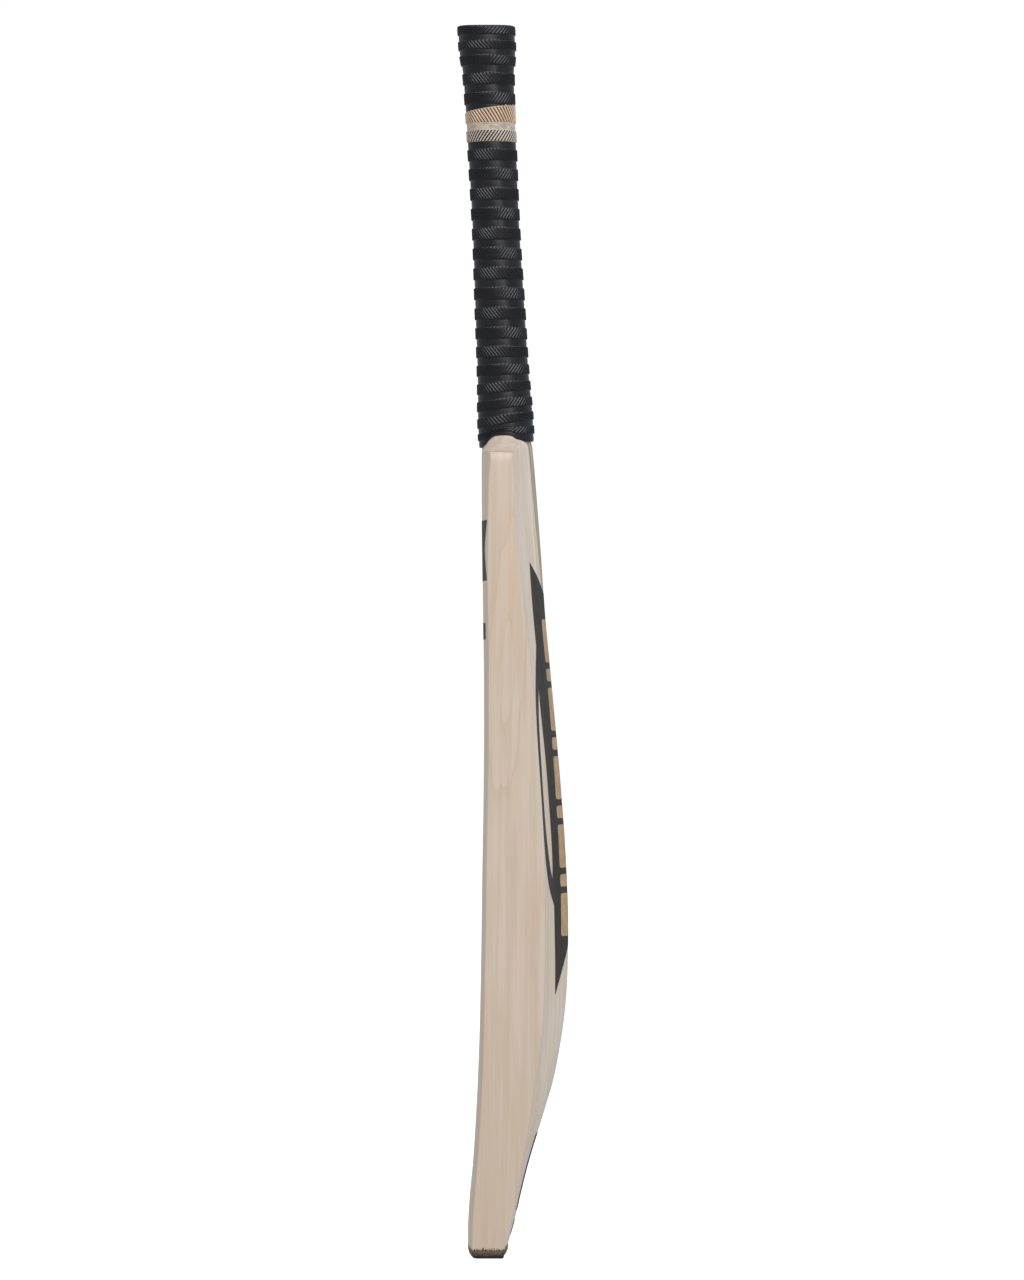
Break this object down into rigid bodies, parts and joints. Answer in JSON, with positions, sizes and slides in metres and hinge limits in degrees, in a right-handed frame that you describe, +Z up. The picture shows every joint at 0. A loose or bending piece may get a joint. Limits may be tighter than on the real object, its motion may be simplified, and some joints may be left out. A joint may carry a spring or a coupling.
{
  "type": "cricket bat",
  "caption": "Full-size cricket bat: bowed wooden blade with a raised spine, spliced laminated cane handle, banded rubber grip, rubber toe guard and plain decals.",
  "frame": {"origin": "middle of the toe guard's flat bottom, where the bat rests on its toe", "axes": "+Z up the bat from the toe to the top of the handle, -Y out of the hitting face, +Y out of the spine, +X and -X out of the two edges"},
  "size_m": [0.108, 0.0776, 0.8503],
  "materials": {
    "willow": "satin",
    "cane": "satin",
    "insert_rubber": "matte",
    "binding_twine": "matte",
    "grip_rubber": "matte",
    "guard_rubber": "matte",
    "decal_vinyl": "satin"
  },
  "bodies": {
    "root": {"blade": "willow", "binding": "binding_twine", "grip": "grip_rubber", "toe_guard": "guard_rubber", "cane_front_left": "cane", "cane_front_centre": "cane", "cane_front_right": "cane", "cane_midfront_left": "cane", "cane_midfront_centre": "cane", "cane_midfront_right": "cane", "cane_midback_left": "cane", "cane_midback_centre": "cane", "cane_midback_right": "cane", "cane_back_left": "cane", "cane_back_centre": "cane", "cane_back_right": "cane", "rubber_insert_front": "insert_rubber", "rubber_insert_middle": "insert_rubber", "rubber_insert_back": "insert_rubber", "decal_back_panel": "decal_vinyl", "decal_toe_panel": "decal_vinyl", "decal_toe_stripe": "decal_vinyl", "decal_face_panel": "decal_vinyl", "decal_face_bar": "decal_vinyl"}
  },
  "joints": []
}
